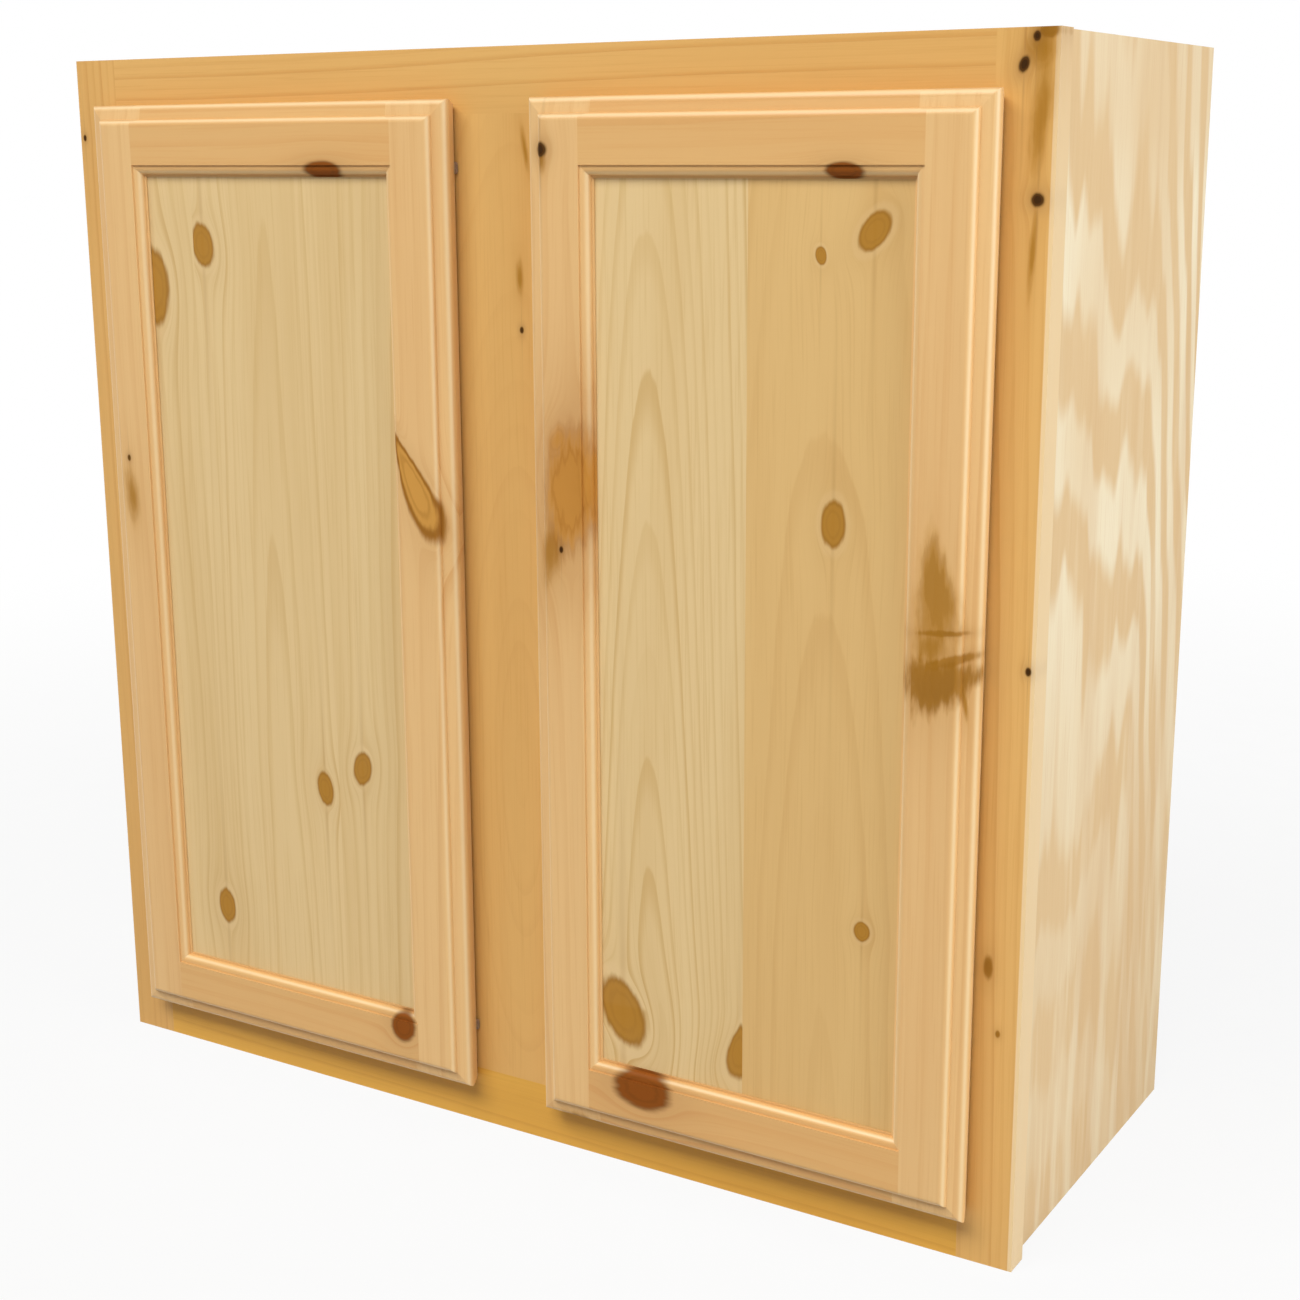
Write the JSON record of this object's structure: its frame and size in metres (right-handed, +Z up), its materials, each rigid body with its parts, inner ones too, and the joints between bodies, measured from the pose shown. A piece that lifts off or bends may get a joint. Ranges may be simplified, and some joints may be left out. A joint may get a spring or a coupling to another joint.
{
  "type": "kitchen wall cabinet",
  "caption": "Shallow square kitchen wall cabinet in bare knotty pine: face frame, framed flat-panel doors on concealed hinges, plywood case and loose shelves.",
  "frame": {"origin": "middle of the rear face of the upper hanging rail, on the wall plane", "axes": "+X to the right seen from the front, +Y into the wall, +Z up; the doors face -Y"},
  "size_m": [0.762, 0.3258, 0.762],
  "materials": {
    "frame_pine": "bare sanded knotty pine",
    "door_pine": "bare sanded knotty pine",
    "panel_pine": "bare sanded knotty pine",
    "side_plywood": "bare softwood plywood",
    "inner_plywood": "bare softwood plywood",
    "hinge_steel": "nickel plated",
    "screw_steel": "zinc plated",
    "pin_steel": "nickel plated",
    "pad_felt": "self-adhesive felt"
  },
  "bodies": {
    "carcass": {"left_side_panel": "side_plywood", "right_side_panel": "side_plywood", "top_panel": "inner_plywood", "bottom_panel": "inner_plywood", "back_panel": "inner_plywood", "upper_hanging_rail": "frame_pine", "lower_hanging_rail": "frame_pine", "frame_left_stile": "frame_pine", "frame_right_stile": "frame_pine", "frame_centre_stile": "frame_pine", "frame_top_rail": "frame_pine", "frame_bottom_rail": "frame_pine", "lower_shelf_pins": "pin_steel", "upper_shelf_pins": "pin_steel", "left_hinge_arms": "hinge_steel", "left_hinge_plate_screws": "screw_steel", "right_hinge_arms": "hinge_steel", "right_hinge_plate_screws": "screw_steel"},
    "left_door": {"left_door_hinge_stile": "door_pine", "left_door_lock_stile": "door_pine", "left_door_top_rail": "door_pine", "left_door_bottom_rail": "door_pine", "left_door_panel_board_1": "panel_pine", "left_door_panel_board_2": "panel_pine", "left_door_panel_board_3": "panel_pine", "left_hinge_cups": "hinge_steel", "left_hinge_pins": "hinge_steel", "left_hinge_cup_screws": "screw_steel", "left_door_pads": "pad_felt"},
    "right_door": {"right_door_hinge_stile": "door_pine", "right_door_lock_stile": "door_pine", "right_door_top_rail": "door_pine", "right_door_bottom_rail": "door_pine", "right_door_panel_board_1": "panel_pine", "right_door_panel_board_2": "panel_pine", "right_hinge_cups": "hinge_steel", "right_hinge_pins": "hinge_steel", "right_hinge_cup_screws": "screw_steel", "right_door_pads": "pad_felt"},
    "lower_shelf": {"lower_shelf": "inner_plywood"},
    "upper_shelf": {"upper_shelf": "inner_plywood"}
  },
  "joints": [
    {"name": "left_door_hinge", "type": "hinge", "parent": "carcass", "child": "left_door", "pos_m": [-0.34496, -0.3141, -0.304], "axis": [0, 0, -1], "range_deg": [0, 105]},
    {"name": "right_door_hinge", "type": "hinge", "parent": "carcass", "child": "right_door", "pos_m": [0.34496, -0.3141, -0.304], "axis": [0, 0, 1], "range_deg": [0, 105]},
    {"name": "lower_shelf_lift", "type": "slide", "parent": "carcass", "child": "lower_shelf", "axis": [0, 0, 1], "range_m": [0, 0.04]},
    {"name": "upper_shelf_lift", "type": "slide", "parent": "carcass", "child": "upper_shelf", "axis": [0, 0, 1], "range_m": [0, 0.04]}
  ]
}
